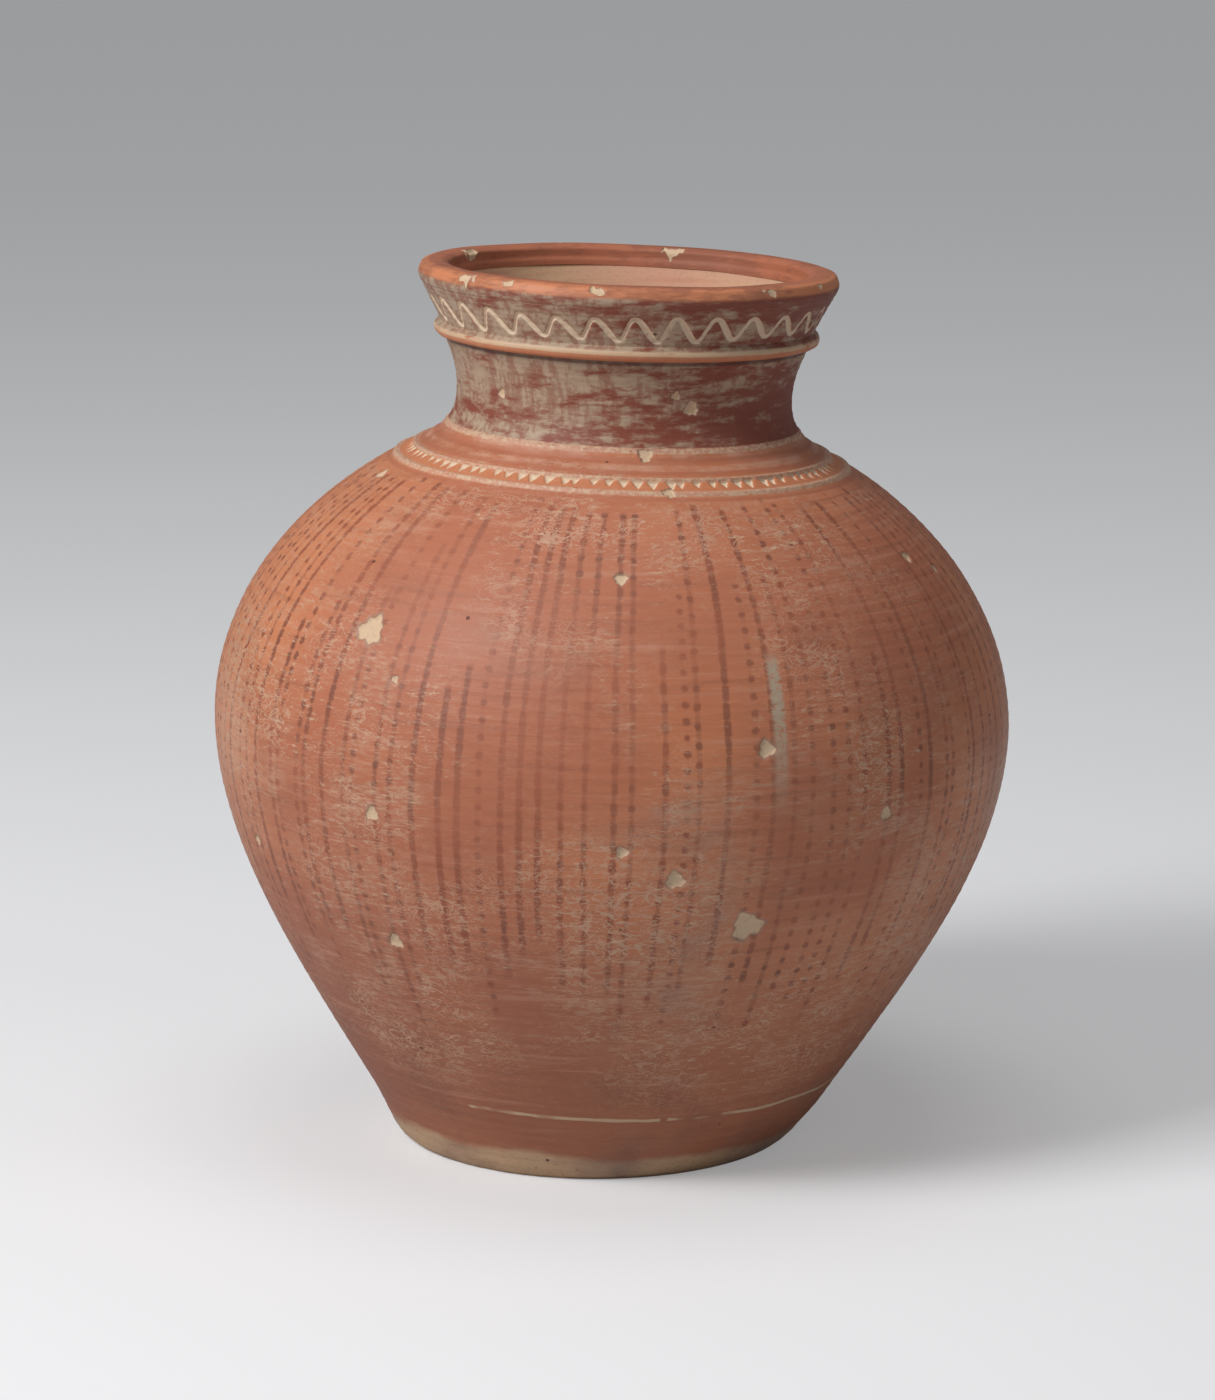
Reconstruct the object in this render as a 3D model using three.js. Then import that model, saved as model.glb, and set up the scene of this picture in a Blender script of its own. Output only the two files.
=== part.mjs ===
import * as THREE from 'three';

// A round storage jar of fired clay, made as clay rings luted one on another over a floor slab.
// Lengths are millimetres, +Z is up, and the origin is the centre of the flat foot.

// Driving sizes of the outline, measured along the jar's own axis
const footRadius = 80.9;
const footFlareDeg = 31.3; // how far the wall leans outwards where it leaves the foot
const bellyRadius = 159.1;
const bellyHeight = 170;
const bellyRoundness = 23.2; // reach of the belly's upright curve into the shoulder
const shoulderRise = 108.4; // belly to the top of the ridged band
const shoulderRadius = 80.8; // at the top of the ridged band
const shoulderSlopeDeg = 62.9; // how far the shoulder leans inwards there
const shoulderReach = 76.3; // reach of that slope down into the shoulder
const neckCornerReach = 9.1; // reach of the slope up into the neck's hollow corner
const neckCornerDeg = 54.9;
const neckRadius = 66.7; // at the narrowest place
const neckCornerRise = 20.6; // top of the ridged band to the narrowest place
const neckStraight = 12.5; // reach of the upright neck below its narrowest place
const neckFlareStart = 11.5; // reach of the upright neck above its narrowest place
const neckFlareRise = 21.5;
const neckTopRadius = 72;
const neckTopLeanDeg = 11.3;
const neckTopReach = 4.1;
const collarRadius = 82.2; // at the foot of the lip
const collarRise = 21.5;
const collarLeanDeg = 27.5;
const collarReach = 8;

// Wall, floor and lip
const wallThickness = 9.5;
const collarThickness = 11;
const floorSlab = 12; // height of the floor slab's edge
const footEdgeWear = 1.2; // rounding of the foot's corner
const lipHeight = 8;
const lipBulge = 0.8; // how far the lip stands out from the collar
const lipBulgeRise = 2.4; // height over which it comes out
const lipOuterRound = 4;
const lipInnerRound = 1.2;
const lipTopWidth = 12;

// Joints between the clay rings
const jointGap = 0.3;
const jointLap = 6; // how far each joint slopes down towards the inside
const bellyRingsBelow = 82; // the belly rings' reach below the widest place
const bellyJointBelow = 28; // the two belly rings meet this far below it
const bellyRingsAbove = 25;
const lowerShoulderRise = 38; // height of the lower shoulder ring
const bandRingDrop = 15; // height of the ridged ring below its top
const neckSeatRise = 8.6; // the neck ring starts in the hollow corner above the ridges
const collarSeatRise = 3.2; // the collar starts behind the cordon

// Two raised ridges round the shoulder's top, measured down the slope from it
const upperRidgeDrop = 1.5;
const lowerRidgeDrop = 10;
const upperRidgeWidth = 2.6;
const lowerRidgeWidth = 3;
const ridgeProud = 1.1;

// The applied cordon over the joint of neck and collar
const cordonWidth = 6.4;
const cordonProud = 3.1;
const cordonCrest = 2.2;
const cordonEdgeRun = 0.6; // breadth of its steep edges
const cordonEdgeProud = 1.9; // how far they rise

// The whole jar leans, and its foot is cut flat
const leanDeg = 2.16;
const footBlend = 20; // the lean grows from nothing to full over this height

const aroundSteps = 56;
const curveSteps = 60;

const rad = THREE.MathUtils.degToRad;
const vec = (radius, height) => new THREE.Vector2(radius, height);

// Heights of the outline's main places
const shoulderTop = bellyHeight + shoulderRise;
const neckWaist = shoulderTop + neckCornerRise;
const neckTop = neckWaist + neckFlareRise;
const collarTop = neckTop + collarRise;
const lipTop = collarTop + lipHeight;

// A curve's handle: from a place, along a direction that leans off the upright, inwards where negative
const handle = (radius, height, leanOff, reach) =>
  vec(radius + reach * Math.sin(rad(leanOff)), height + reach * Math.cos(rad(leanOff)));

// The outer outline from foot to lip, as curves that share their end places
const footReach = bellyHeight / 3 / Math.cos(rad(footFlareDeg));
const outline = [
  new THREE.CubicBezierCurve(
    vec(footRadius, 0),
    handle(footRadius, 0, footFlareDeg, footReach),
    vec(bellyRadius, bellyHeight * 2 / 3),
    vec(bellyRadius, bellyHeight)),
  new THREE.CubicBezierCurve(
    vec(bellyRadius, bellyHeight),
    vec(bellyRadius, bellyHeight + bellyRoundness),
    handle(shoulderRadius, shoulderTop, -shoulderSlopeDeg, -shoulderReach),
    vec(shoulderRadius, shoulderTop)),
  new THREE.CubicBezierCurve(
    vec(shoulderRadius, shoulderTop),
    handle(shoulderRadius, shoulderTop, -neckCornerDeg, neckCornerReach),
    vec(neckRadius, neckWaist - neckStraight),
    vec(neckRadius, neckWaist)),
  new THREE.CubicBezierCurve(
    vec(neckRadius, neckWaist),
    vec(neckRadius, neckWaist + neckFlareStart),
    handle(neckTopRadius, neckTop, neckTopLeanDeg, -neckTopReach),
    vec(neckTopRadius, neckTop)),
  new THREE.CubicBezierCurve(
    vec(neckTopRadius, neckTop),
    handle(neckTopRadius, neckTop, neckTopLeanDeg, neckTopReach),
    handle(collarRadius, collarTop, collarLeanDeg, -collarReach),
    vec(collarRadius, collarTop)),
];

// The outline as a run of places with the length walked up to each
const run = [];
let walked = 0;
for (const curve of outline) {
  for (const place of curve.getPoints(curveSteps)) {
    const last = run.at(-1);
    const step = last ? last.place.distanceTo(place) : 0;
    if (last && step < 1e-6) continue;
    walked += step;
    run.push({ place, walked });
  }
}

// The place and outward normal where the walk up the outline reaches a length
function skinAt(length) {
  let i = run.findIndex((stop) => stop.walked >= length);
  i = Math.max(1, i < 0 ? run.length - 1 : i);
  const [low, high] = [run[i - 1], run[i]];
  const share = (length - low.walked) / (high.walked - low.walked);
  const along = high.place.clone().sub(low.place).normalize();
  return {
    place: low.place.clone().lerp(high.place, share),
    normal: vec(along.y, -along.x),
  };
}

// The walked length at which the outline reaches a height
function lengthAt(height) {
  const i = Math.max(1, run.findIndex((stop) => stop.place.y >= height - 1e-9));
  const [low, high] = [run[i - 1], run[i]];
  const share = (height - low.place.y) / (high.place.y - low.place.y);
  return low.walked + share * (high.walked - low.walked);
}

const collarStart = lengthAt(neckTop);
const outlineEnd = run.at(-1).walked;

function thicknessAt(length) {
  const share = THREE.MathUtils.smoothstep(length, collarStart, outlineEnd);
  return THREE.MathUtils.lerp(wallThickness, collarThickness, share);
}

// A place off the outer skin: proud of it where positive, inside the wall where negative
function offSkin(length, proud) {
  const { place, normal } = skinAt(length);
  return place.addScaledVector(normal, proud);
}
const inner = (length) => offSkin(length, -thicknessAt(length));

// Evenly spaced lengths between two, both ends included
const spread = (from, to, steps) => Array.from({ length: steps + 1 }, (_, i) => from + (to - from) * i / steps);

// The lean: nothing at the flat foot, a plain turn above it
function leanOver(geometry) {
  const spots = geometry.attributes.position;
  for (let i = 0; i < spots.count; i++) {
    const [x, y, z] = [spots.getX(i), spots.getY(i), spots.getZ(i)];
    const turn = rad(leanDeg) * THREE.MathUtils.smoothstep(z, 0, footBlend);
    spots.setXYZ(i, x * Math.cos(turn) + z * Math.tan(rad(leanDeg)), y, z - x * Math.sin(turn));
  }
  geometry.computeVertexNormals();
}

const jar = new THREE.Group();

// Surfaces of the clay
const redSlip = { color: 0xb4694c, roughness: 0.58 };
const bareClay = { color: 0xc8a17e, roughness: 0.9 };
const wornWash = { color: 0xa88c76, roughness: 0.68 };

// Turns a section into a closed ring, or a disc where the section ends on the axis
function addTurned(name, section, surface) {
  const onAxis = section[0].x === 0;
  const profile = onAxis ? section : [...section, section[0].clone()];
  const geometry = new THREE.LatheGeometry(profile, aroundSteps);
  geometry.rotateX(Math.PI / 2);
  leanOver(geometry);
  const mesh = new THREE.Mesh(geometry, new THREE.MeshStandardMaterial({ ...surface, metalness: 0 }));
  mesh.name = name;
  jar.add(mesh);
}

// Places on the outer skin, evenly spaced between two lengths
const skinPlaces = (from, to, steps) => spread(from, to, steps).map((length) => offSkin(length, 0));

// A wall ring's section between two joints: its outer places, then the inner ones, a lap further down
function ringSection(from, to, outside, innerSteps) {
  const inside = spread(to - jointLap, from + jointGap - jointLap, innerSteps).map(inner);
  return [...outside, ...inside];
}

// A wall ring with plain skin
function addWallRing(name, from, to, outerSteps, innerSteps, surface) {
  addTurned(name, ringSection(from, to, skinPlaces(from + jointGap, to, outerSteps), innerSteps), surface);
}

// Lengths at which the rings meet
const floorJoint = lengthAt(floorSlab);
const lowerJoint = lengthAt(bellyHeight - bellyRingsBelow);
const bellyJoint = lengthAt(bellyHeight - bellyJointBelow);
const upperJoint = lengthAt(bellyHeight + bellyRingsAbove);
const shoulderJoint = lengthAt(bellyHeight + bellyRingsAbove + lowerShoulderRise);
const bandJoint = lengthAt(shoulderTop - bandRingDrop);
const neckJoint = lengthAt(shoulderTop + neckSeatRise);
const collarJoint = lengthAt(neckTop + collarSeatRise);

function addFloorSlab() {
  const joint = inner(floorJoint - jointLap);
  addTurned('floor_slab', [
    vec(0, 0),
    vec(footRadius - footEdgeWear, 0),
    ...skinPlaces(lengthAt(footEdgeWear), floorJoint, 3),
    joint,
    vec(0, joint.y),
  ], bareClay);
}

// A ridge's cross-section: a low trapezium standing on the skin
function ridgePlaces(centre, width) {
  return [
    offSkin(centre - width / 2, 0),
    offSkin(centre - width / 4, ridgeProud),
    offSkin(centre + width / 4, ridgeProud),
    offSkin(centre + width / 2, 0),
  ];
}

function addRidgedRing() {
  const top = lengthAt(shoulderTop);
  const lower = top - lowerRidgeDrop;
  const upper = top - upperRidgeDrop;
  const outside = [
    ...skinPlaces(bandJoint + jointGap, lower - lowerRidgeWidth, 2),
    ...ridgePlaces(lower, lowerRidgeWidth),
    ...ridgePlaces(upper, upperRidgeWidth),
    ...skinPlaces(upper + upperRidgeWidth, neckJoint, 3),
  ];
  addTurned('ridged_ring', ringSection(bandJoint, neckJoint, outside, 5), redSlip);
}

// The cordon rises steeply at its two edges, and its underside follows the wall behind a gap
function addCordon() {
  const low = collarJoint - cordonWidth / 2;
  const high = collarJoint + cordonWidth / 2;
  addTurned('neck_cordon', [
    offSkin(low, jointGap),
    offSkin(low + cordonEdgeRun, cordonEdgeProud),
    offSkin(collarJoint - cordonCrest / 2, cordonProud),
    offSkin(collarJoint + cordonCrest / 2, cordonProud),
    offSkin(high - cordonEdgeRun, cordonEdgeProud),
    offSkin(high, jointGap),
    ...spread(high, low, 4).slice(1, -1).map((length) => offSkin(length, jointGap)),
  ], wornWash);
}

// The lip's outer edge is a quarter round, taken at its middle, and its inner edge a small cut
function addLip() {
  const outer = offSkin(outlineEnd, 0);
  const lap = inner(outlineEnd - jointLap);
  const lift = vec(0, jointGap);
  const bulge = outer.x + lipBulge;
  const mouth = bulge - lipTopWidth;
  const roundInset = lipOuterRound * (1 - Math.SQRT1_2);
  addTurned('lip', [
    outer.add(lift),
    vec(bulge, collarTop + lipBulgeRise),
    vec(bulge, lipTop - lipOuterRound),
    vec(bulge - roundInset, lipTop - roundInset),
    vec(bulge - lipOuterRound, lipTop),
    vec(mouth + lipInnerRound, lipTop),
    vec(mouth, lipTop - lipInnerRound),
    lap.add(lift),
  ], redSlip);
}

addFloorSlab();
addWallRing('lower_wall', floorJoint, lowerJoint, 6, 4, redSlip);
addWallRing('lower_belly_wall', lowerJoint, bellyJoint, 4, 3, redSlip);
addWallRing('upper_belly_wall', bellyJoint, upperJoint, 4, 3, redSlip);
addWallRing('lower_shoulder_wall', upperJoint, shoulderJoint, 4, 3, redSlip);
addWallRing('upper_shoulder_wall', shoulderJoint, bandJoint, 4, 3, redSlip);
addRidgedRing();
addWallRing('neck_wall', neckJoint, collarJoint, 8, 6, wornWash);
addWallRing('rim_collar', collarJoint, outlineEnd, 4, 4, wornWash);
addCordon();
addLip();

export default jar;
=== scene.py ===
import math
import bpy
import numpy as np
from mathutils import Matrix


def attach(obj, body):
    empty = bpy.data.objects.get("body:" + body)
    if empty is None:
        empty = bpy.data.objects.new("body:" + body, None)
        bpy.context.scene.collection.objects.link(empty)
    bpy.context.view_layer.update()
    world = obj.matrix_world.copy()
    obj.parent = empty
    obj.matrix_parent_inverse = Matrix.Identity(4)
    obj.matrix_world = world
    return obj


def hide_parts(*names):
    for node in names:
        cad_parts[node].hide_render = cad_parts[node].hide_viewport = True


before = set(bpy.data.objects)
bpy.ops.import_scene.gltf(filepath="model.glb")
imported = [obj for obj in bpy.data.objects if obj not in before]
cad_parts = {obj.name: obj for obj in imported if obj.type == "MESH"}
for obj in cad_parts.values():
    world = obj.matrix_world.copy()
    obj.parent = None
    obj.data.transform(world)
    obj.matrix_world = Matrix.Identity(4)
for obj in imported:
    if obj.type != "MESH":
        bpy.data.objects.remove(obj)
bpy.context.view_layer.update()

mm = 0.001
scene = bpy.context.scene
coarse = 1.0
print("frame loaded")

# The jar's outline in millimetres along its own axis, with leans in degrees off the upright
outline = dict(
    footRadius=80.9, footFlare=31.3,
    bellyRadius=159.1, bellyHeight=170.0, bellyRoundness=23.2,
    shoulderRise=108.4, shoulderRadius=80.8, shoulderSlope=62.9, shoulderReach=76.3,
    neckCornerReach=9.1, neckCornerLean=54.9, neckCornerRise=20.6, neckStraight=12.5,
    neckRadius=66.7, neckFlareStart=11.5, neckFlareRise=21.5,
    neckTopRadius=72.0, neckTopLean=11.3, neckTopReach=4.1,
    collarRadius=82.2, collarRise=21.5, collarLean=27.5, collarReach=8.0,
    lean=2.16, leanBlend=20.0,
)

# The clay members: wall, joints and how far each joint slopes down inside
members = dict(
    wall=9.5, collarWall=11.0, lap=6.0, floorSlab=12.0, footWear=2.2,
    bellyBelow=82.0, bellyMiddle=28.0, bellyAbove=25.0, shoulderRise=38.0, bandDrop=15.0,
    neckSeat=8.6, collarSeat=3.2, innerStep=4.0,
)


# A point at a lean off the upright from another, at a given reach; negative leans go inwards
def handle(radius, height, lean, reach):
    turn = math.radians(lean)
    return np.array([radius + reach * math.sin(turn), height + reach * math.cos(turn)])


# Cubic curve: four handles weighted by the Bernstein shares of the way along
def cubic(a, b, c, d, steps=240):
    t = np.linspace(0, 1, steps)[:, None]
    return (1 - t) ** 3 * a + 3 * (1 - t) ** 2 * t * b + 3 * (1 - t) * t ** 2 * c + t ** 3 * d


# The outline as one run of radius and height, with the length walked and the outward normal
def walkOutline(o):
    shoulderTop = o["bellyHeight"] + o["shoulderRise"]
    waist = shoulderTop + o["neckCornerRise"]
    neckTop = waist + o["neckFlareRise"]
    collarTop = neckTop + o["collarRise"]
    belly = np.array([o["bellyRadius"], o["bellyHeight"]])
    shoulder = np.array([o["shoulderRadius"], shoulderTop])
    neck = np.array([o["neckRadius"], waist])
    neckEnd = np.array([o["neckTopRadius"], neckTop])
    collarEnd = np.array([o["collarRadius"], collarTop])
    footReach = o["bellyHeight"] / 3 / math.cos(math.radians(o["footFlare"]))
    curves = [
        cubic(np.array([o["footRadius"], 0.0]), handle(o["footRadius"], 0, o["footFlare"], footReach),
              belly - [0, o["bellyHeight"] / 3], belly),
        cubic(belly, belly + [0, o["bellyRoundness"]],
              handle(*shoulder, -o["shoulderSlope"], -o["shoulderReach"]), shoulder),
        cubic(shoulder, handle(*shoulder, -o["neckCornerLean"], o["neckCornerReach"]),
              neck - [0, o["neckStraight"]], neck),
        cubic(neck, neck + [0, o["neckFlareStart"]],
              handle(*neckEnd, o["neckTopLean"], -o["neckTopReach"]), neckEnd),
        cubic(neckEnd, handle(*neckEnd, o["neckTopLean"], o["neckTopReach"]),
              handle(*collarEnd, o["collarLean"], -o["collarReach"]), collarEnd),
    ]
    run = np.vstack([curves[0]] + [curve[1:] for curve in curves[1:]])
    walked = np.concatenate([[0], np.cumsum(np.hypot(*np.diff(run, axis=0).T))])
    along = np.gradient(run, walked, axis=0)
    along /= np.hypot(*along.T)[:, None]
    heights = dict(shoulderTop=shoulderTop, waist=waist, neckTop=neckTop, collarTop=collarTop)
    return run, walked, np.column_stack([along[:, 1], -along[:, 0]]), heights


run, walked, outward, heights = walkOutline(outline)


def lengthAt(height):
    return float(np.interp(height, run[:, 1], walked))


# Radius and height of a place: the outline at that length, moved off along its normal
def offSkin(length, proud):
    radius = np.interp(length, walked, run[:, 0]) + proud * np.interp(length, walked, outward[:, 0])
    height = np.interp(length, walked, run[:, 1]) + proud * np.interp(length, walked, outward[:, 1])
    return radius, height


def smooth(value, low, high):  # 0 below low, 1 above high, an S between
    t = np.clip((value - low) / (high - low), 0, 1)
    return t * t * (3 - 2 * t)


endLength = float(walked[-1])
floorJoint = lengthAt(members["floorSlab"])
lowerJoint = lengthAt(outline["bellyHeight"] - members["bellyBelow"])
bellyJoint = lengthAt(outline["bellyHeight"] - members["bellyMiddle"])
upperJoint = lengthAt(outline["bellyHeight"] + members["bellyAbove"])
shoulderJoint = lengthAt(outline["bellyHeight"] + members["bellyAbove"] + members["shoulderRise"])
bandJoint = lengthAt(heights["shoulderTop"] - members["bandDrop"])
neckJoint = lengthAt(heights["shoulderTop"] + members["neckSeat"])
collarStart = lengthAt(heights["neckTop"])
collarJoint = lengthAt(heights["neckTop"] + members["collarSeat"])


def wallAt(length):
    grow = smooth(length, collarStart, endLength)
    return members["wall"] + grow * (members["collarWall"] - members["wall"])


# Turned places to metres: a circle round the axis, then the jar's lean, which fades out at the flat foot
def turned(angle, radius, height):
    x = radius * np.sin(angle)
    y = -radius * np.cos(angle) * np.ones_like(height)
    tilt = math.radians(outline["lean"])
    turn = tilt * smooth(height, 0, outline["leanBlend"])
    return np.stack([x * np.cos(turn) + height * math.tan(tilt), y, height - x * np.sin(turn)], axis=-1) * mm


# A soft closed noise round the jar: sines of whole turns round and free waves along, each with its own phase
def softNoise(angle, length, seed, turns, waves, count=9):
    rng = np.random.default_rng(seed)  # the same field on every member, so that joints stay shut
    total = np.zeros(np.broadcast(angle, length).shape)
    for _ in range(count):
        around = rng.integers(1, turns + 1)
        along = rng.uniform(-waves, waves)
        total = total + np.sin(around * angle + along * length + rng.uniform(0, 2 * math.pi))
    return total / math.sqrt(count)


# The band between the two ridges, with its row of triangular notches
band = dict(
    lowerDrop=10.0, upperDrop=1.5, lowerWidth=3.4, upperWidth=3.0, ridgeProud=0.9,
    notches=92, notchWidth=4.2, notchDeep=4.6, notchDepth=0.9, notchSway=0.22,
)
shoulderLength = lengthAt(heights["shoulderTop"])
lowerRidge = shoulderLength - band["lowerDrop"]
upperRidge = shoulderLength - band["upperDrop"]


# Ridge: a raised cosine hump across the walk
def ridge(length, centre, width, proud):
    t = np.clip(np.abs(length - centre) / (width / 2), 0, 1)
    return proud * 0.5 * (1 + np.cos(math.pi * t))


# Notch: a triangle that hangs from the upper ridge, its sides closing in with the way down
def notchField(angle, length):
    pitch = 2 * math.pi / band["notches"]
    cell = np.round(angle / pitch)
    sway = band["notchSway"] * np.sin(cell * 12.9898) * np.cos(cell * 4.1)
    size = 1 + 0.16 * np.sin(cell * 7.13)
    radius = np.interp(length, walked, run[:, 0])
    across = np.abs(angle - (cell + sway) * pitch) * radius
    down = (upperRidge - band["upperWidth"] / 2 + 0.3 - length) / (band["notchDeep"] * size)
    half = band["notchWidth"] / 2 * size * (1 - down)
    inside = smooth(half - across, -0.25, 0.75) * smooth(down, -0.12, 0.08) * smooth(1.05 - down, 0, 0.3)
    return inside


# The incised wave on the collar
wave = dict(count=31, amplitude=4.6, centreDown=10.3, grooveHalf=1.0, depth=0.85, skew=0.32)


# Wave groove: distance from a skewed sine line, shortened by the line's slope, through a bell
def waveField(angle, length):
    phase = wave["count"] * angle + 0.5 * np.sin(3 * angle + 1.0)
    leaning = phase + wave["skew"] * np.sin(phase)
    swell = wave["amplitude"] * (1 + 0.12 * np.sin(5 * angle + 0.4))
    line = endLength - wave["centreDown"] + swell * np.sin(leaning) + 0.5 * np.sin(2 * angle)
    radius = np.interp(length, walked, run[:, 0])
    slope = swell * np.cos(leaning) * wave["count"] / radius
    distance = np.abs(length - line) / np.sqrt(1 + slope ** 2)
    return np.exp(-(distance / wave["grooveHalf"]) ** 2)


# Spalls, each as angle in degrees from the front, walked length and size in millimetres
spalls = [
    (-40, 244, 5.4), (20.4, 138, 5.6), (-34.6, 175, 2.6), (-34.3, 120, 3.0), (0, 276, 2.4),
    (20.9, 209, 3.2), (1.4, 170, 2.2), (8.9, 159, 3.2), (40.6, 180, 2.5), (63.3, 277, 2.3),
    (71, 268, 1.8), (6.5, 342, 2.6), (11.2, 321, 2.5), (22.2, 360, 2.6), (16.4, 365, 1.6),
    (-46, 361, 1.8), (-33, 227, 1.5), (-73, 310, 2.6), (-64, 147, 2.2), (104, 214, 4.2),
    (131, 262, 2.6), (158, 150, 5.0), (-171, 240, 3.0), (-148, 186, 2.4), (-122, 120, 4.4),
    (-101, 255, 2.2), (118, 98, 2.4), (-92, 70, 3.0), (176, 88, 2.2), (-140, 330, 2.4),
]


# Spall mask: 1 at a spall's middle, 0.5 at its ragged edge, 0 at twice its size
def spallField(angle, length):
    mask = np.zeros(np.broadcast(angle, length).shape)
    for degrees, centre, size in spalls:
        radius = float(np.interp(centre, walked, run[:, 0]))
        away = (angle - math.radians(degrees) + math.pi) % (2 * math.pi) - math.pi
        across = away * radius
        along = length - centre
        bearing = np.arctan2(along, across)
        ragged = size * (1 + 0.16 * np.sin(3 * bearing + degrees) + 0.1 * np.sin(7 * bearing + centre))
        mask = np.maximum(mask, 1 - np.hypot(across, along) / (2 * ragged))
    return np.clip(mask, 0, 1)


# Relief of the outer skin in millimetres: its depth under the outline, swells, turning lines and bands
relief = dict(
    sunk=0.45, swell=0.13, ripple=0.04, turningDepth=0.05, turningWaves=1.31, fineDepth=0.04, fineWaves=2.7,
    channelRise=8.6, channelWidth=5.0, channelDepth=0.35, lineRise=13.4, lineWidth=2.6, lineProud=0.45,
    waveFoot=18.6, waveFull=17.0, spallDepth=0.75, spallEdge=0.42, spallFloor=0.62,
)
channel = shoulderLength + relief["channelRise"]  # the hollow between shoulder and neck
neckLine = shoulderLength + relief["lineRise"]  # the raised line where the neck starts


# Everything that the maker and time did to the outer skin, in millimetres off the outline, and its masks
def skinRelief(angle, length):
    spall = spallField(angle, length)
    aboveCordon = smooth(length, endLength - relief["waveFoot"], endLength - relief["waveFull"])
    groove = waveField(angle, length) * aboveCordon
    notch = notchField(angle, length)
    turning = relief["turningDepth"] * np.sin(length * relief["turningWaves"] + 0.3 * np.sin(2 * angle))
    fineTurning = relief["fineDepth"] * np.sin(length * relief["fineWaves"] + np.sin(angle))
    swells = relief["swell"] * softNoise(angle, length, 7, 4, 0.035)
    ripples = relief["ripple"] * softNoise(angle, length, 8, 26, 0.25)
    proud = -relief["sunk"] + swells + ripples + turning + fineTurning
    proud = proud + ridge(length, lowerRidge, band["lowerWidth"], band["ridgeProud"])
    proud = proud + ridge(length, upperRidge, band["upperWidth"], band["ridgeProud"])
    proud = proud - ridge(length, channel, relief["channelWidth"], relief["channelDepth"])
    proud = proud + ridge(length, neckLine, relief["lineWidth"], relief["lineProud"])
    proud = proud - band["notchDepth"] * notch - wave["depth"] * groove
    proud = proud - relief["spallDepth"] * smooth(spall, relief["spallEdge"], relief["spallFloor"])
    cream = np.maximum(groove, notch)
    return proud, spall, cream


# A closed surface from rows of points: rows close round the jar, and either on each other or on two poles
def surfaceMesh(name, points, rowLength, outerRows, spall, cream, closesOnItself=True):
    rows, columns = points.shape[:2]
    index = np.arange(rows * columns).reshape(rows, columns)
    bands = rows if closesOnItself else rows - 1
    low = index[:bands]
    high = np.roll(index, -1, axis=0)[:bands]
    quads = np.stack([low, np.roll(low, -1, 1), np.roll(high, -1, 1), high], axis=-1).reshape(-1, 4)
    share = np.linspace(0, 1, columns + 1)
    left, right = np.tile(share[:-1], bands), np.tile(share[1:], bands)
    below, above = np.repeat(rowLength[:bands], columns), np.repeat(rowLength[1:bands + 1], columns)
    corners = np.stack([left, below, right, below, right, above, left, above], axis=-1).reshape(-1, 2)
    loops, starts = quads.ravel(), np.arange(0, quads.size, 4)
    bandOf = np.repeat(np.arange(bands), columns)
    inside = (bandOf >= outerRows[1]) | (bandOf < outerRows[0])
    vertices = points.reshape(-1, 3)
    masks = [spall.ravel(), cream.ravel()]
    if not closesOnItself:
        first, last = len(vertices), len(vertices) + 1
        vertices = np.vstack([vertices, points[0].mean(0), points[-1].mean(0)])
        masks = [np.append(mask, [0, 0]) for mask in masks]
        start = np.stack([np.full(columns, first), np.roll(index[0], -1), index[0]], axis=-1)
        end = np.stack([np.full(columns, last), index[-1], np.roll(index[-1], -1)], axis=-1)
        starts = np.append(starts, quads.size + np.arange(0, 6 * columns, 3))
        loops = np.concatenate([loops, start.ravel(), end.ravel()])
        flat = np.tile(np.column_stack([share[:-1], np.full(columns, rowLength[0])]), (1, 3)).reshape(-1, 2)
        corners = np.vstack([corners, flat, flat + [0, rowLength[-1] - rowLength[0]]])
        inside = np.append(inside, np.ones(2 * columns, bool))
    mesh = bpy.data.meshes.new(name)
    mesh.vertices.add(len(vertices))
    mesh.vertices.foreach_set("co", vertices.ravel())
    mesh.loops.add(len(loops))
    mesh.loops.foreach_set("vertex_index", loops.astype(np.int32))
    mesh.polygons.add(len(starts))
    mesh.polygons.foreach_set("loop_start", starts.astype(np.int32))
    mesh.polygons.foreach_set("material_index", inside.astype(np.int32))
    mesh.uv_layers.new(name="wrap").data.foreach_set("uv", corners.ravel())
    for label, mask in zip(("spall", "cream"), masks):
        mesh.attributes.new(label, "FLOAT", "POINT").data.foreach_set("value", mask)
    mesh.update(calc_edges=True)
    mesh.validate()
    mesh.shade_smooth()
    mesh.set_sharp_from_angle(angle=math.radians(48))
    piece = bpy.data.objects.new(name, mesh)
    scene.collection.objects.link(piece)
    return piece


def around(step, radius):
    columns = int(2 * math.pi * radius / (step * coarse))
    return np.linspace(-math.pi, math.pi, columns, endpoint=False)[None, :]


def spread(first, last, step):
    return np.linspace(first, last, max(3, int(abs(last - first) / (step * coarse)) + 1))


# The inner skin: the outline less the wall, with the soft rings that fingers left
def innerPoints(angle, length):
    rings = 0.35 * np.sin(length * 0.42 + 1.4 * np.sin(angle)) + 0.2 * np.sin(length * 0.93)
    fade = smooth(length, floorJoint + 4, floorJoint + 30)
    fade = fade * (1 - smooth(length, collarStart - 12, collarStart))
    return turned(angle, *offSkin(length, -wallAt(length) + 0.5 * rings * fade))


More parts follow.
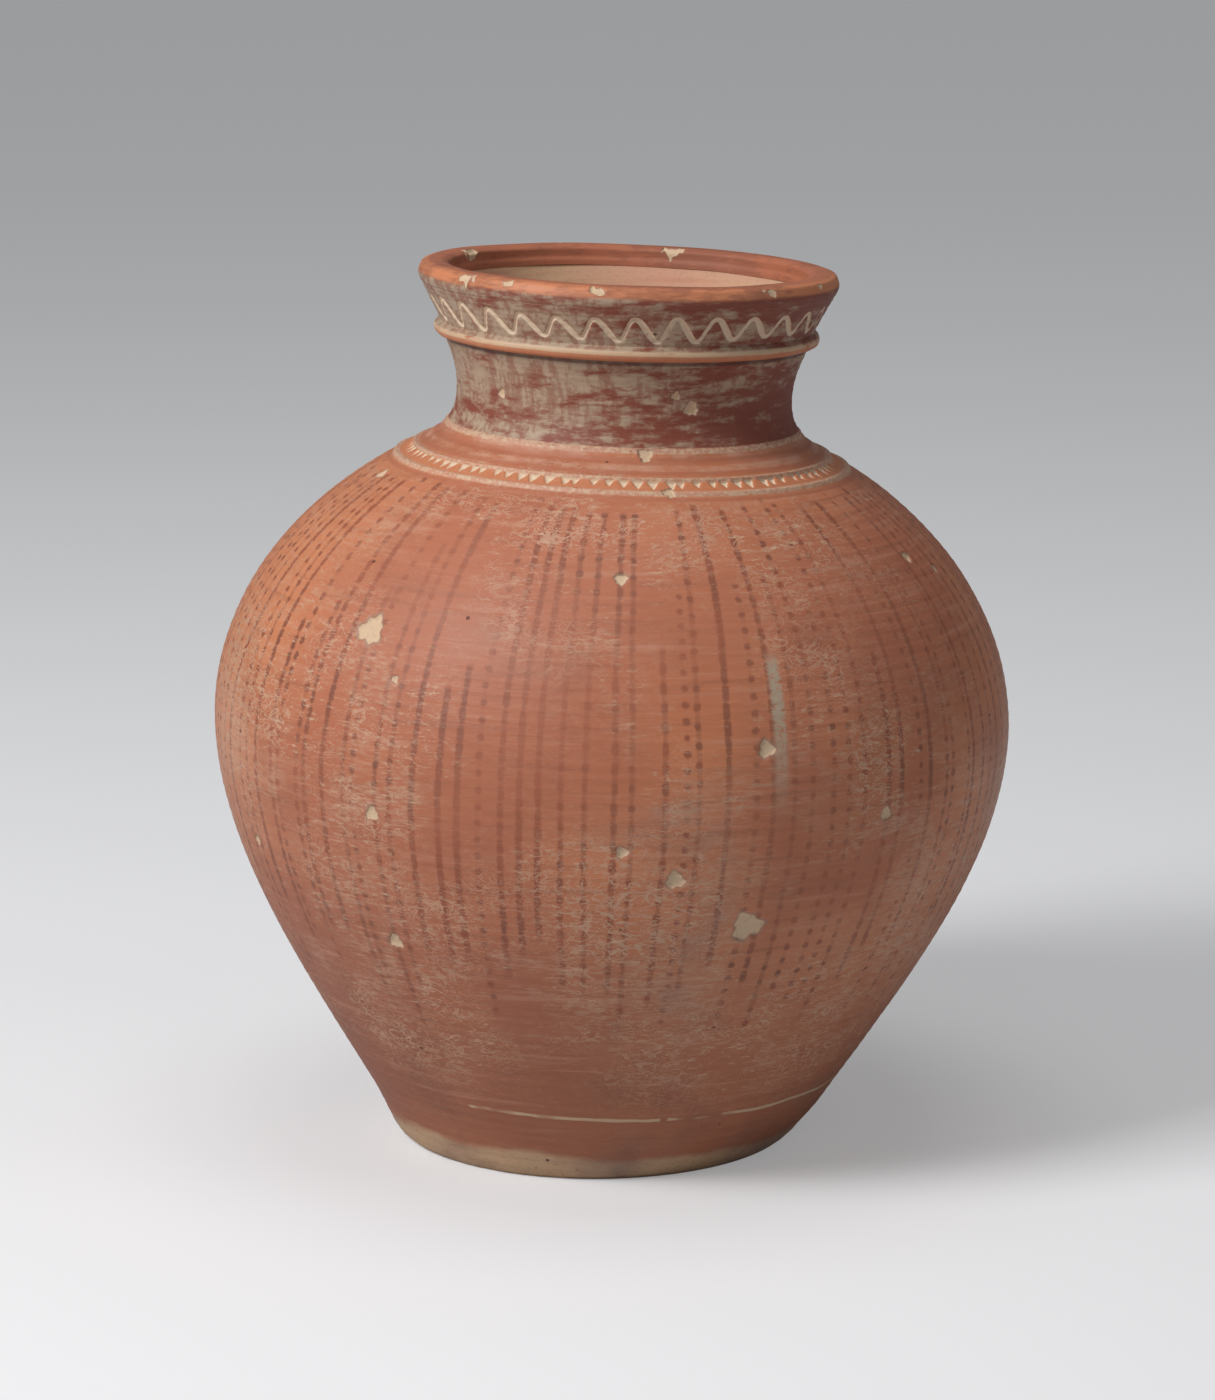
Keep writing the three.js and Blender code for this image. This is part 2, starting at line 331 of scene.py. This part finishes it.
# One ring of the wall: outer skin up, lapped joint in, inner skin down, lapped joint out
def wallRing(name, first, last, step):
    angle = around(step, np.interp((first + last) / 2, walked, run[:, 0]))
    outer = spread(first, last, step)[:, None]
    inner = spread(last - members["lap"], first - members["lap"], members["innerStep"])[:, None]
    proud, spall, cream = skinRelief(angle, outer)
    rows = [turned(angle, *offSkin(outer, proud)), innerPoints(angle, inner)]
    points = np.concatenate(rows)
    plain = np.zeros(rows[1].shape[:2])
    innerRun = endLength + 40 + last - inner.ravel()
    lengths = np.concatenate([outer.ravel(), innerRun, innerRun[-1:] + members["wall"]]) * mm
    return surfaceMesh(name, points, lengths, (0, len(outer) - 1),
                       np.concatenate([spall, plain]), np.concatenate([cream, plain]))


# The floor slab in millimetres: grid steps, the small ring round each pole, and its unevenness
slab = dict(
    aroundStep=1.2, skinStep=0.8, poleRadius=6.0, footRows=12, floorRows=14,
    chew=0.35, swirl=0.35, hollow=0.4,
)


# The floor slab: flat foot out to its worn corner, the outer skin up, the lapped joint and the floor in
def floorPiece():
    angle = around(slab["aroundStep"], outline["footRadius"])
    wear = members["footWear"]
    foot = np.linspace(slab["poleRadius"], outline["footRadius"] - wear, slab["footRows"])
    chew = slab["chew"] * softNoise(angle, np.zeros((1, 1)), 3, 40, 0.1, 16)
    outer = spread(wear * 0.7, floorJoint, slab["skinStep"])[:, None]
    proud, spall, cream = skinRelief(angle, outer)
    proud = proud - smooth(wear * 2.2 - outer, 0, wear * 2.2) * (0.5 + np.abs(chew))
    joint = offSkin(floorJoint - members["lap"], -members["wall"])
    floor = np.linspace(joint[0], slab["poleRadius"], slab["floorRows"])[:, None]
    swirl = slab["swirl"] * np.sin(floor * 0.5 + angle) * smooth(joint[0] - floor, 0, 12)
    skirt = np.zeros((slab["footRows"], angle.shape[1]))
    top = np.zeros((slab["floorRows"], angle.shape[1]))
    rows = [turned(angle, foot[:, None], skirt),
            turned(angle, *offSkin(outer, proud)),
            turned(angle, floor, joint[1] - slab["hollow"] + swirl)]
    rows[0][..., 2] = 0
    lengths = np.concatenate([-0.1 + foot * mm, outer.ravel() * mm, 0.5 + (joint[0] - floor.ravel()) * mm])
    lastFoot = slab["footRows"] - 1
    return surfaceMesh("floor_slab_clay", np.concatenate(rows), lengths, (lastFoot, lastFoot + len(outer)),
                       np.concatenate([skirt, spall, top]), np.concatenate([skirt, cream, top]), False)


# The cordon: a strip of clay with a soft crest, laid over the joint of neck and collar
cordon = dict(
    width=6.4, proud=3.1, seat=-0.8, aroundStep=0.7, rows=27, backRows=6, backDrop=0.4,
    bulge=2.6, flatness=0.62, worn=0.12, shrunk=0.25,
)


def cordonPiece():
    low, high = collarJoint - cordon["width"] / 2, collarJoint + cordon["width"] / 2
    angle = around(cordon["aroundStep"], outline["neckTopRadius"])
    t = np.linspace(-1, 1, cordon["rows"])[:, None]
    crest = np.clip(1 - np.abs(t) ** cordon["bulge"], 0, 1) ** cordon["flatness"]
    worn = cordon["worn"] * softNoise(angle, np.zeros((1, 1)), 4, 30, 0.1, 14)
    length = collarJoint + t * cordon["width"] / 2
    proud = cordon["seat"] + crest * (cordon["proud"] - cordon["seat"] - cordon["shrunk"] + worn)
    back = np.linspace(high, low, cordon["backRows"])[1:-1, None]
    rows = [turned(angle, *offSkin(length, proud)),
            turned(angle, *offSkin(back, np.full(angle.shape, cordon["seat"] - cordon["backDrop"])))]
    lengths = np.concatenate([length.ravel(), endLength + 8 + back.ravel() * 0, [endLength + 9]]) * mm
    spall = spallField(angle, length)
    plain = np.zeros(rows[1].shape[:2])
    return surfaceMesh("neck_cordon_clay", np.concatenate(rows), lengths, (0, cordon["rows"]),
                       np.concatenate([spall, plain]), np.concatenate([np.zeros(spall.shape), plain]))


# The lip, in millimetres, and the chips along its edge as angle, size and which edge they bite
lip = dict(
    height=8.0, bulge=0.8, outerRound=4.2, roundInset=0.28, roundDrop=0.26, innerRound=1.4, topWidth=12.0,
    step=0.5, aroundStep=0.6, innerDrop=5.2, chipStretch=1.7, chipDrop=1.5, chipDepth=0.8, ragged=0.3,
)
lipChips = [
    (-50, 2.0, "outer"), (-34, 1.2, "outer"), (-9, 1.7, "outer"), (41, 1.6, "outer"), (64, 1.1, "outer"),
    (-118, 2.6, "inner"), (-160, 3.0, "outer"), (128, 2.4, "outer"), (165, 2.0, "inner"), (92, 1.8, "outer"),
]


# The lip's section as corner places joined by even steps, then eased twice so that the corners turn round
def lipSection():
    outer = np.array(offSkin(endLength, -0.3))
    joint = np.array(offSkin(endLength - members["lap"], -members["collarWall"]))
    top = heights["collarTop"] + lip["height"]
    edge = outline["collarRadius"] + lip["bulge"] - 0.15
    mouth = edge - lip["topWidth"]
    places = np.array([
        outer, [edge, outer[1] + 2.2], [edge, top - lip["outerRound"]],
        [edge - lip["outerRound"] * lip["roundInset"], top - lip["outerRound"] * lip["roundDrop"]],
        [edge - lip["outerRound"], top - 0.1],
        [mouth + lip["innerRound"] * 2, top - 0.15], [mouth, top - lip["innerRound"]],
        [mouth - 0.2, top - lip["innerDrop"]], [mouth - 0.9, top - lip["innerDrop"] - 0.5], joint])
    length = np.concatenate([[0], np.cumsum(np.hypot(*np.diff(places, axis=0).T))])
    even = np.arange(0, length[-1], lip["step"] * coarse)
    section = np.column_stack([np.interp(even, length, places[:, 0]), np.interp(even, length, places[:, 1])])
    for _ in range(2):
        section[1:-1] = (section[:-2] + 2 * section[1:-1] + section[2:]) / 4
    return np.vstack([section, joint]), np.append(even, length[-1])


def lipPiece():
    section, length = lipSection()
    angle = around(lip["aroundStep"], outline["collarRadius"])
    top = heights["collarTop"] + lip["height"]
    radius = section[:, :1] + 0.12 * softNoise(angle, length[:, None], 5, 9, 0.1) - 0.12
    height = section[:, 1:] + 0.1 * softNoise(angle, length[:, None], 6, 14, 0.1) - 0.1
    spall = np.zeros(radius.shape)
    ragged = softNoise(angle, length[:, None], 11, 160, 1.2, 16)
    for degrees, size, side in lipChips:
        edge = outline["collarRadius"] if side == "outer" else outline["collarRadius"] - lip["topWidth"] + 1
        away = (angle - math.radians(degrees) + math.pi) % (2 * math.pi) - math.pi
        across = away * edge / lip["chipStretch"]
        rise = section[:, 1:] - top + lip["chipDrop"]
        distance = np.sqrt(across ** 2 + (section[:, :1] - edge) ** 2 + rise ** 2)
        spall = np.maximum(spall, 1 - distance * (1 + lip["ragged"] * ragged) / (2 * size))
    spall = np.clip(spall, 0, 1)
    height = height - lip["chipDepth"] * smooth(spall, 0.42, 0.7)
    height = np.minimum(height, top)
    radius[-1], height[-1] = section[-1]
    rows = turned(angle, radius, height)
    lengths = np.append(endLength + length, endLength + length[-1] + 10) * mm
    return surfaceMesh("lip_clay", rows, lengths, (0, len(section) - 1), spall, np.zeros(spall.shape))


# A socket of a finish's node tree. Arithmetic on it adds Math nodes.
class Wire:
    def __init__(self, finish, socket):
        self.finish = finish
        self.socket = socket

    def math(self, operation, *values):
        return self.finish.add("ShaderNodeMath", dict(operation=operation), dict(enumerate(values)))

    def __add__(self, other):
        return self.math("ADD", self, other)

    def __sub__(self, other):
        return self.math("SUBTRACT", self, other)

    def __rsub__(self, other):
        return self.math("SUBTRACT", other, self)

    def __mul__(self, other):
        return self.math("MULTIPLY", self, other)

    def __truediv__(self, other):
        return self.math("DIVIDE", self, other)

    def __abs__(self):
        return self.math("ABSOLUTE", self)

    __radd__ = __add__
    __rmul__ = __mul__


class Finish:
    def __init__(self, name):
        self.material = bpy.data.materials.new(name)
        self.material.use_nodes = True
        self.tree = self.material.node_tree
        self.tree.nodes.clear()

    # Adds a node: its settings first, then its values or links
    def add(self, kind, settings=None, values=None, output=0):
        node = self.tree.nodes.new(kind)
        for key, value in (settings or {}).items():
            setattr(node, key, value)
        for key, value in (values or {}).items():
            if isinstance(value, Wire):
                self.tree.links.new(value.socket, node.inputs[key])
            else:
                node.inputs[key].default_value = value
        return Wire(self, node.outputs[output]) if node.outputs else None

    def spot(self):
        return self.add("ShaderNodeTexCoord", output="Object")

    def noise(self, vector, scale, detail=3.0, roughness=0.55, distortion=0.0):
        values = {"Vector": vector, "Scale": scale, "Detail": detail, "Roughness": roughness,
                  "Distortion": distortion}
        return self.add("ShaderNodeTexNoise", {}, values)

    def dice(self, number):  # one random share for each whole number
        return self.add("ShaderNodeTexWhiteNoise", dict(noise_dimensions="1D"), {"W": number})

    def rise(self, value, low, high):  # 0 below low, 1 above high
        values = {0: value, 1: low, 2: high, 3: 0.0, 4: 1.0}
        return self.add("ShaderNodeMapRange", dict(interpolation_type="SMOOTHSTEP"), values)

    def stretch(self, vector, x, y, z):
        return self.add("ShaderNodeVectorMath", dict(operation="MULTIPLY"), {0: vector, 1: (x, y, z)})

    def mix(self, share, first, second):
        values = {"Factor": share, 6: first, 7: second}
        return self.add("ShaderNodeMix", dict(data_type="RGBA"), values, 2)

    def mask(self, name):
        return self.add("ShaderNodeAttribute", dict(attribute_name=name), output="Fac")

    def done(self, colour, roughness, bump, bumpDepth, specular=0.4):
        normal = self.add("ShaderNodeBump", {}, {"Height": bump, "Distance": bumpDepth, "Strength": 1.0})
        values = {"Base Color": colour, "Roughness": roughness, "Normal": normal}
        values["Specular IOR Level"] = specular
        shader = self.add("ShaderNodeBsdfPrincipled", {}, values)
        self.add("ShaderNodeOutputMaterial", {}, {"Surface": shader})
        return self.material


# Colours of clay, slip and paint, as linear red, green and blue
clayColours = dict(
    # slipDark also serves as the painted shade low on the body
    slip=(0.41, 0.135, 0.070, 1), slipBright=(0.56, 0.205, 0.095, 1), slipDark=(0.235, 0.082, 0.048, 1),
    paint=(0.125, 0.038, 0.026, 1), cream=(0.60, 0.43, 0.28, 1), greyCream=(0.40, 0.305, 0.215, 1),
    # grey also serves as the painted shade round the spalls
    bare=(0.55, 0.375, 0.225, 1), grey=(0.30, 0.20, 0.15, 1), pink=(0.56, 0.30, 0.205, 1),
    # pit also serves as the painted shadow under the cordon
    neckRed=(0.225, 0.058, 0.034, 1), pit=(0.05, 0.02, 0.015, 1), scuff=(0.52, 0.31, 0.205, 1),
    paintRed=(0.235, 0.055, 0.028, 1), wash=(0.43, 0.325, 0.225, 1), chalk=(0.68, 0.52, 0.37, 1),
)

# The painted stripes of dots and dashes: how many go round, their wander in degrees, the rest in millimetres
stripes = dict(count=116, jitter=0.6, half=1.3, period=6.8, start=316.0, end=84.0, wander=2.6, underLine=0.8)


# Painted stripes: for each stripe a wandering meridian, cut into dots or dashes of its own length
def stripeMask(f, degrees, length, radius, spot):
    pitch = 360 / stripes["count"]
    drift = (f.noise(f.stretch(spot, 1, 1, 0.6), 11.0, 2.0) - 0.5) * stripes["wander"]
    place = (degrees + drift) / pitch
    number = f.add("ShaderNodeMath", dict(operation="ROUND"), {0: place})
    own = f.dice(number)
    other = f.dice(number + 0.37)
    third = f.dice(number + 0.71)
    across = abs((place - number - (own - 0.5) * stripes["jitter"]) * radius * math.radians(pitch))
    beat = length / (other * 1.6 + stripes["period"] - 0.8) + other * 7
    step = beat.math("FRACT", beat)
    along = abs(step - 0.5) * stripes["period"]
    dashHalf = f.rise(third, 0.35, 0.95) * 2.1 + 1.5
    past = along - dashHalf + stripes["half"]
    beyond = past.math("MAXIMUM", past, 0.0)
    square = across * across + beyond * beyond
    ragged = (f.noise(spot, 900.0, 2.0) - 0.5) * 0.9 + (f.noise(spot, 210.0, 2.0) - 0.5) * 1.5
    capsule = square.math("SQRT", square) + ragged
    mark = 1 - f.rise(capsule, stripes["half"] * 0.55, stripes["half"] * 1.35)
    threadEdge = f.rise(across + ragged * 0.6, stripes["underLine"] * 0.6, stripes["underLine"] * 1.7)
    thread = (1 - threadEdge) * other * 0.62
    both = mark.math("MAXIMUM", mark, thread)
    lowStart = f.rise(own, 0.6, 0.66) * (third * 60 + 24)
    startAt = stripes["start"] - other * 10 - lowStart
    endAt = stripes["end"] + third * 44 - own * 16
    within = (1 - f.rise(length, startAt, startAt + 3)) * f.rise(length, endAt, endAt + 8)
    return both * within


# Scuffs: thin wandering lines where a stretched noise passes through its middle value
def veins(f, spot, sideways, upward, thin):
    field = f.noise(f.stretch(spot, sideways, sideways, upward), 1.0, 2.0, 0.5, 0.8)
    return 1 - f.rise(abs(field - 0.5), thin * 0.3, thin)


# How strongly each layer of the slip and each painted shade shows, from 0 to 1, and how rough the skin is
slipLook = dict(
    lowShade=0.55, darkPatch=0.3, darkStreak=0.4, pinkStreak=0.3, paintLeast=0.34, paintSpread=0.42,
    scuffBald=0.8, scuffLeast=0.08, fleckBald=0.6, fleckLeast=0.1, haze=0.62, greyed=0.4, between=0.75,
    spallRimShade=0.55, spallGrey=0.35, pit=0.8, roughness=0.58, burnish=0.2, bumpMetres=0.00022,
)
toMillimetres = 1000


# The outer skin from foot to lip: slip, burnish, painted stripes, cream wash, wear and chips by zone, with
# painted shade low on the body and round the spalls
def skinFinish():
    f = Finish("Worn red slip")
    c = clayColours
    look = slipLook
    spot = f.spot()
    wrap = f.add("ShaderNodeSeparateXYZ", {}, {0: f.add("ShaderNodeUVMap", dict(uv_map="wrap"))})
    degrees = (wrap - 0.5) * 360
    length = Wire(f, wrap.socket.node.outputs[1]) * toMillimetres
    flat = f.add("ShaderNodeVectorMath", dict(operation="LENGTH"), {0: f.stretch(spot, 1, 1, 0)}, 1)
    radius = flat * toMillimetres
    spall, cream = f.mask("spall"), f.mask("cream")

    cloud = f.noise(spot, 6.0, 3.0)
    patch = f.noise(spot, 22.0, 4.0, 0.6)
    streak = f.noise(f.stretch(spot, 18, 18, 340), 1.0, 3.0, 0.6)
    fine = f.noise(f.stretch(spot, 160, 160, 900), 1.0, 3.0, 0.65)
    grain = f.noise(spot, 620.0, 3.0, 0.6)

    # Painted shade: the slip darkens towards the bottom of the jar, mixed with random darker patches
    low = 1 - f.rise(length + (patch - 0.5) * 60, 40, 175)
    colour = f.mix(f.rise(cloud, 0.38, 0.64), c["slip"], c["slipBright"])
    lowShadeAndPatches = low * look["lowShade"] + f.rise(patch, 0.5, 0.72) * look["darkPatch"]
    colour = f.mix(lowShadeAndPatches, colour, c["slipDark"])
    colour = f.mix(f.rise(streak, 0.52, 0.78) * look["darkStreak"], colour, c["slipDark"])
    colour = f.mix((1 - f.rise(streak, 0.26, 0.46)) * look["pinkStreak"], colour, c["pink"])

    marks = stripeMask(f, degrees, length, radius, spot)
    strength = f.rise(f.noise(spot, 12.0, 2.0), 0.3, 0.62) * look["paintSpread"] + look["paintLeast"]
    colour = f.mix(marks * strength, colour, f.mix(f.rise(patch, 0.36, 0.56), c["paint"], c["paintRed"]))

    bald = f.rise(f.noise(spot, 13.0, 4.0, 0.6), 0.40, 0.62) * f.rise(length, 28, 80)
    smoothTop = f.rise(length, 225, 262) * f.rise(cloud, 0.44, 0.56)
    bald = bald * (1 - smoothTop * 0.75)
    web = veins(f, spot, 95, 210, 0.030)
    hair = veins(f, spot, 230, 520, 0.045)
    scuffs = (web.math("MAXIMUM", web, hair * 0.8)) * f.rise(patch + (fine - 0.5) * 0.6, 0.34, 0.56)
    colour = f.mix(scuffs * (bald * look["scuffBald"] + look["scuffLeast"]), colour, c["scuff"])
    fleck = f.rise(fine, 0.585, 0.68) * f.rise(grain, 0.4, 0.58)
    colour = f.mix(fleck * (bald * look["fleckBald"] + look["fleckLeast"]), colour, c["cream"])
    haze = f.rise(f.noise(spot, 15.0, 5.0, 0.7, 0.5), 0.50, 0.70) * f.rise(length, 60, 110) * (1 - smoothTop)
    colour = f.mix(haze * f.rise(fine, 0.36, 0.62) * look["haze"], colour, c["scuff"])
    greyed = f.rise(f.noise(spot, 9.5, 4.0, 0.65, 0.6), 0.56, 0.74) * f.rise(patch, 0.4, 0.6)
    colour = f.mix(greyed * look["greyed"], colour, c["grey"])

    colour = neckZones(f, c, colour, spot, degrees, length, streak, fine, patch, grain)
    colour = footZones(f, c, colour, degrees, length, spot, patch, grain)
    between = f.rise(length, lowerRidge + 1.4, lowerRidge + 2.2)
    between = between * (1 - f.rise(length, upperRidge - 1.6, upperRidge - 0.8))
    colour = f.mix(between * look["between"], colour, c["slipBright"])
    colour = f.mix(f.rise(cream, 0.2, 0.5) * f.rise(grain, 0.2, 0.42), colour, c["chalk"])
    colour = f.mix(scrapeMask(f, degrees, length, grain, fine), colour, c["greyCream"])
    chipped = f.rise(spall + (grain - 0.5) * 0.22 + (patch - 0.5) * 0.1, 0.46, 0.54)
    # Painted shade: a grey ring just outside each chipped spall, where its crater falls away
    rim = f.rise(spall, 0.36, 0.44) * (1 - chipped)
    colour = f.mix(rim * look["spallRimShade"], colour, c["grey"])
    colour = f.mix(chipped, colour, c["cream"])
    colour = f.mix(chipped * f.rise(grain, 0.56, 0.7) * look["spallGrey"], colour, c["grey"])
    pit = 1 - f.rise(f.add("ShaderNodeTexVoronoi", {}, {"Vector": spot, "Scale": 42.0}), 0.02, 0.035)
    colour = f.mix(pit * look["pit"], colour, c["pit"])

    burnish = f.rise(cloud, 0.4, 0.64) * (1 - low)
    roughness = look["roughness"] - burnish * look["burnish"]
    roughness = roughness + fleck * 0.15 + chipped * 0.25 + f.rise(length, 335, 345) * 0.08
    bump = fine * 0.4 + grain * 0.35 + streak * 0.5 - chipped * 0.8 - pit * 2.0
    return f.done(colour, roughness, bump, look["bumpMetres"])


# The neck and above: worn cream wash, thin where rubbed, over brick red; bands by walked length
def neckZones(f, c, colour, spot, degrees, length, streak, fine, patch, grain):
    neck = f.rise(length, neckLine - 1.4, neckLine + 0.6)
    strokes = f.noise(f.stretch(spot, 260, 260, 34), 1.0, 2.0)
    red = f.mix(f.rise(strokes, 0.55, 0.72) * 0.6, c["neckRed"], c["slipDark"])
    washed = f.noise(f.stretch(spot, 60, 60, 210), 1.0, 5.0, 0.68)
    leftSide = 1 - f.rise(abs(degrees + 75), 40, 130)
    higher = f.rise(length, neckJoint + 4, collarStart)
    nearLip = f.rise(length, endLength - 13, endLength)
    wash = f.rise(washed + leftSide * 0.15 + higher * 0.12 - nearLip * 0.1, 0.54, 0.74)
    worn = f.rise(strokes + (grain - 0.5) * 0.5, 0.36, 0.56) * 0.5 + 0.4
    colour = f.mix(neck, colour, f.mix(wash * worn, red, c["wash"]))
    pinkBand = f.rise(length, shoulderLength + 1.2, shoulderLength + 2.6) * (1 - neck)
    rubbed = f.rise(washed, 0.4, 0.62)
    colour = f.mix(pinkBand * rubbed * 0.7, colour, c["pink"])
    for centre, half in ((lowerRidge, 1.5), (upperRidge, 1.3), (neckLine, 1.2)):
        line = 1 - f.rise(abs(length - centre), half * 0.7, half * 1.35)
        colour = f.mix(line * f.rise(fine, 0.25, 0.42) * 0.75, colour, c["pink"])
        colour = f.mix(line * f.rise(grain + streak * 0.3, 0.6, 0.75) * 0.8, colour, c["cream"])
    # Painted shade: slip-coloured lines darken the hollow between shoulder and neck, just above the upper
    # ridge and just under the lower ridge
    for centre, half in ((channel, 1.8), (shoulderLength + 2.2, 1.1), (lowerRidge - 3.4, 0.9)):
        line = 1 - f.rise(abs(length - centre), half * 0.6, half * 1.5)
        colour = f.mix(line * 0.7, colour, c["slip"])
    # Painted shadow: a dark line just under the cordon, in the pit colour
    shade = 1 - f.rise(abs(length - collarJoint + 4.1), 0.5, 1.3)
    colour = f.mix(shade * 0.6, colour, c["pit"])
    under = f.rise(length, collarJoint - 3.6, collarJoint - 3.0)
    under = under * (1 - f.rise(length, collarJoint + 1.6, collarJoint + 2.4))
    colour = f.mix(under * 0.85, colour, c["slipBright"])
    over = 1 - f.rise(abs(length - collarJoint - 1.5), 0.5, 1.1)
    colour = f.mix(over * f.rise(washed, 0.34, 0.5) * 0.85, colour, c["cream"])
    onLip = f.rise(length, endLength + 2.8, endLength + 4.4)
    lipTone = f.mix(f.rise(length, endLength + 8, endLength + 11), c["slipBright"], c["slip"])
    lipTone = f.mix(f.rise(patch + (fine - 0.5) * 0.5, 0.42, 0.62) * 0.6, lipTone, c["slipDark"])
    return f.mix(onLip, colour, lipTone)


# The foot: bare clay below a ragged edge, and the pale line that runs part of the way round above it
def footZones(f, c, colour, degrees, length, spot, patch, grain):
    edge = (f.noise(spot, 26.0, 3.0) - 0.5) * 16
    bare = 1 - f.rise(length + edge, 9.5, 14.5)
    clay = f.mix(f.rise(patch, 0.4, 0.7), c["bare"], c["grey"])
    colour = f.mix(bare * f.rise(grain, 0.2, 0.45) * 0.85, colour, clay)
    wobble = (f.noise(spot, 40.0, 2.0) - 0.5) * 3.2
    line = abs(length - 35.6 - degrees * 0.018 + wobble)
    thick = 0.85 + (f.noise(spot, 90.0, 2.0) - 0.5) * 0.8
    onLine = 1 - f.rise(line / thick, 0.75, 1.2)
    reach = f.rise(degrees, -31, -30) * (1 - f.rise(degrees, 104, 106))
    gap = 1 - f.rise(abs(degrees - 14.5), 0.5, 1.2)
    kept = f.rise(f.noise(spot, 34.0, 3.0), 0.36, 0.48)
    return f.mix(onLine * reach * (1 - gap) * kept * 0.85, colour, c["cream"])


# A long pale scrape on the right of the front, densest at its top and fading down
def scrapeMask(f, degrees, length, grain, fine):
    across = abs(degrees - 23.0)
    stripe = 1 - f.rise(across + (fine - 0.5) * 1.4, 0.5, 1.3)
    down = f.rise(length, 172, 228) * (1 - f.rise(length, 240, 246))
    return stripe * down * f.rise(grain, 0.3, 0.5)


# The unslipped inside and the joint faces: gritty pale clay with finger rings and darker settled dust
def insideFinish():
    f = Finish("Bare fired clay")
    c = clayColours
    spot = f.spot()
    cloud = f.noise(spot, 14.0, 4.0, 0.6)
    grit = f.noise(spot, 700.0, 3.0)
    ring = f.noise(f.stretch(spot, 10, 10, 220), 1.0, 3.0)
    colour = f.mix(f.rise(cloud, 0.35, 0.65), c["bare"], c["pink"])
    colour = f.mix(f.rise(ring, 0.5, 0.75) * 0.4, colour, c["slip"])
    colour = f.mix(f.rise(grit, 0.56, 0.7) * 0.3, colour, c["grey"])
    return f.done(colour, grit * 0.1 + 0.8, grit * 0.5 + ring, 0.0003, 0.25)


skin = skinFinish()
inside = insideFinish()
print("finishes made")

memberPlan = [  # node, its two joints, grid step in millimetres, slot
    ("lower_wall", floorJoint, lowerJoint, 1.05, "red_slip"),
    ("lower_belly_wall", lowerJoint, bellyJoint, 0.95, "red_slip"),
    ("upper_belly_wall", bellyJoint, upperJoint, 0.95, "red_slip"),
    ("lower_shoulder_wall", upperJoint, shoulderJoint, 0.85, "red_slip"),
    ("upper_shoulder_wall", shoulderJoint, bandJoint, 0.8, "red_slip"),
    ("ridged_ring", bandJoint, neckJoint, 0.55, "red_slip"),
    ("neck_wall", neckJoint, collarJoint, 0.6, "worn_neck"),
    ("rim_collar", collarJoint, endLength, 0.42, "worn_neck"),
]


def seat(piece, node):
    piece.data.materials.append(skin)
    piece.data.materials.append(inside)
    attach(piece, "root")
    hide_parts(node)
    print(node, "made of", len(piece.data.polygons), "faces")


for node, first, last, step, slotName in memberPlan:
    seat(wallRing(node + "_clay", first, last, step), node)
seat(floorPiece(), "floor_slab")
seat(cordonPiece(), "neck_cordon")
seat(lipPiece(), "lip")

# Floor, light and camera
stage = dict(
    floorHalf=30.0, floorTone=(0.62, 0.62, 0.63, 1), worldTone=(0.80, 0.82, 0.85, 1), worldStrength=0.18,
    paleTone=(0.231, 0.233, 0.237, 1), unlit=(0, 0, 0, 1), aim=(0.0, 0.0, 0.18),
)
camera = dict(
    away=1.7246, height=0.5355, pitch=11.805, yaw=0.154, focal=4395.8, imageHeight=1400, sensor=36.0,
)
lamps = [  # name, place, size, watts
    ("key", (-1.35, -1.05, 1.65), 0.8, 44.0),
    ("fill", (1.9, -0.9, 1.3), 0.9, 4.5),
    ("top", (0.0, -0.1, 2.3), 1.2, 9.0),
]


def makeFloor():
    half = stage["floorHalf"]
    mesh = bpy.data.meshes.new("floor")
    corners = [(-half, -half, 0), (half, -half, 0), (half, half, 0), (-half, half, 0)]
    mesh.from_pydata(corners, [], [(0, 1, 2, 3)])
    floor = bpy.data.objects.new("floor", mesh)
    scene.collection.objects.link(floor)
    f = Finish("Pale floor")
    seen = f.add("ShaderNodeLightPath", output="Is Camera Ray")
    shader = f.add("ShaderNodeBsdfPrincipled", {}, {
        "Base Color": stage["floorTone"], "Roughness": 0.9, "Emission Strength": 1.0,
        "Emission Color": f.mix(seen, stage["unlit"], stage["paleTone"])})
    f.add("ShaderNodeOutputMaterial", {}, {"Surface": shader})
    mesh.materials.append(f.material)


def makeLamp(name, place, size, watts):
    data = bpy.data.lights.new(name, "AREA")
    data.size = size
    data.energy = watts
    lamp = bpy.data.objects.new(name, data)
    scene.collection.objects.link(lamp)
    lamp.location = place
    aim = np.array(stage["aim"]) - np.array(place)
    tip = math.atan2(math.hypot(aim[0], aim[1]), -aim[2])
    lamp.rotation_euler = (tip, 0, math.atan2(aim[1], aim[0]) - math.pi / 2)


def makeWorld():
    world = bpy.data.worlds.new("soft studio")
    scene.world = world
    world.use_nodes = True
    shade = world.node_tree.nodes["Background"]
    shade.inputs["Color"].default_value = stage["worldTone"]
    shade.inputs["Strength"].default_value = stage["worldStrength"]


def makeCamera():
    data = bpy.data.cameras.new("camera")
    data.sensor_width = camera["sensor"]
    data.lens = camera["focal"] / camera["imageHeight"] * camera["sensor"]
    eye = bpy.data.objects.new("camera", data)
    scene.collection.objects.link(eye)
    eye.location = (0, -camera["away"], camera["height"])
    eye.rotation_euler = (math.radians(90 - camera["pitch"]), 0, -math.radians(camera["yaw"]))
    scene.camera = eye


makeFloor()
for lampPlan in lamps:
    makeLamp(*lampPlan)
makeWorld()
makeCamera()
scene.view_settings.view_transform = "Standard"
print("stage, light and camera set")
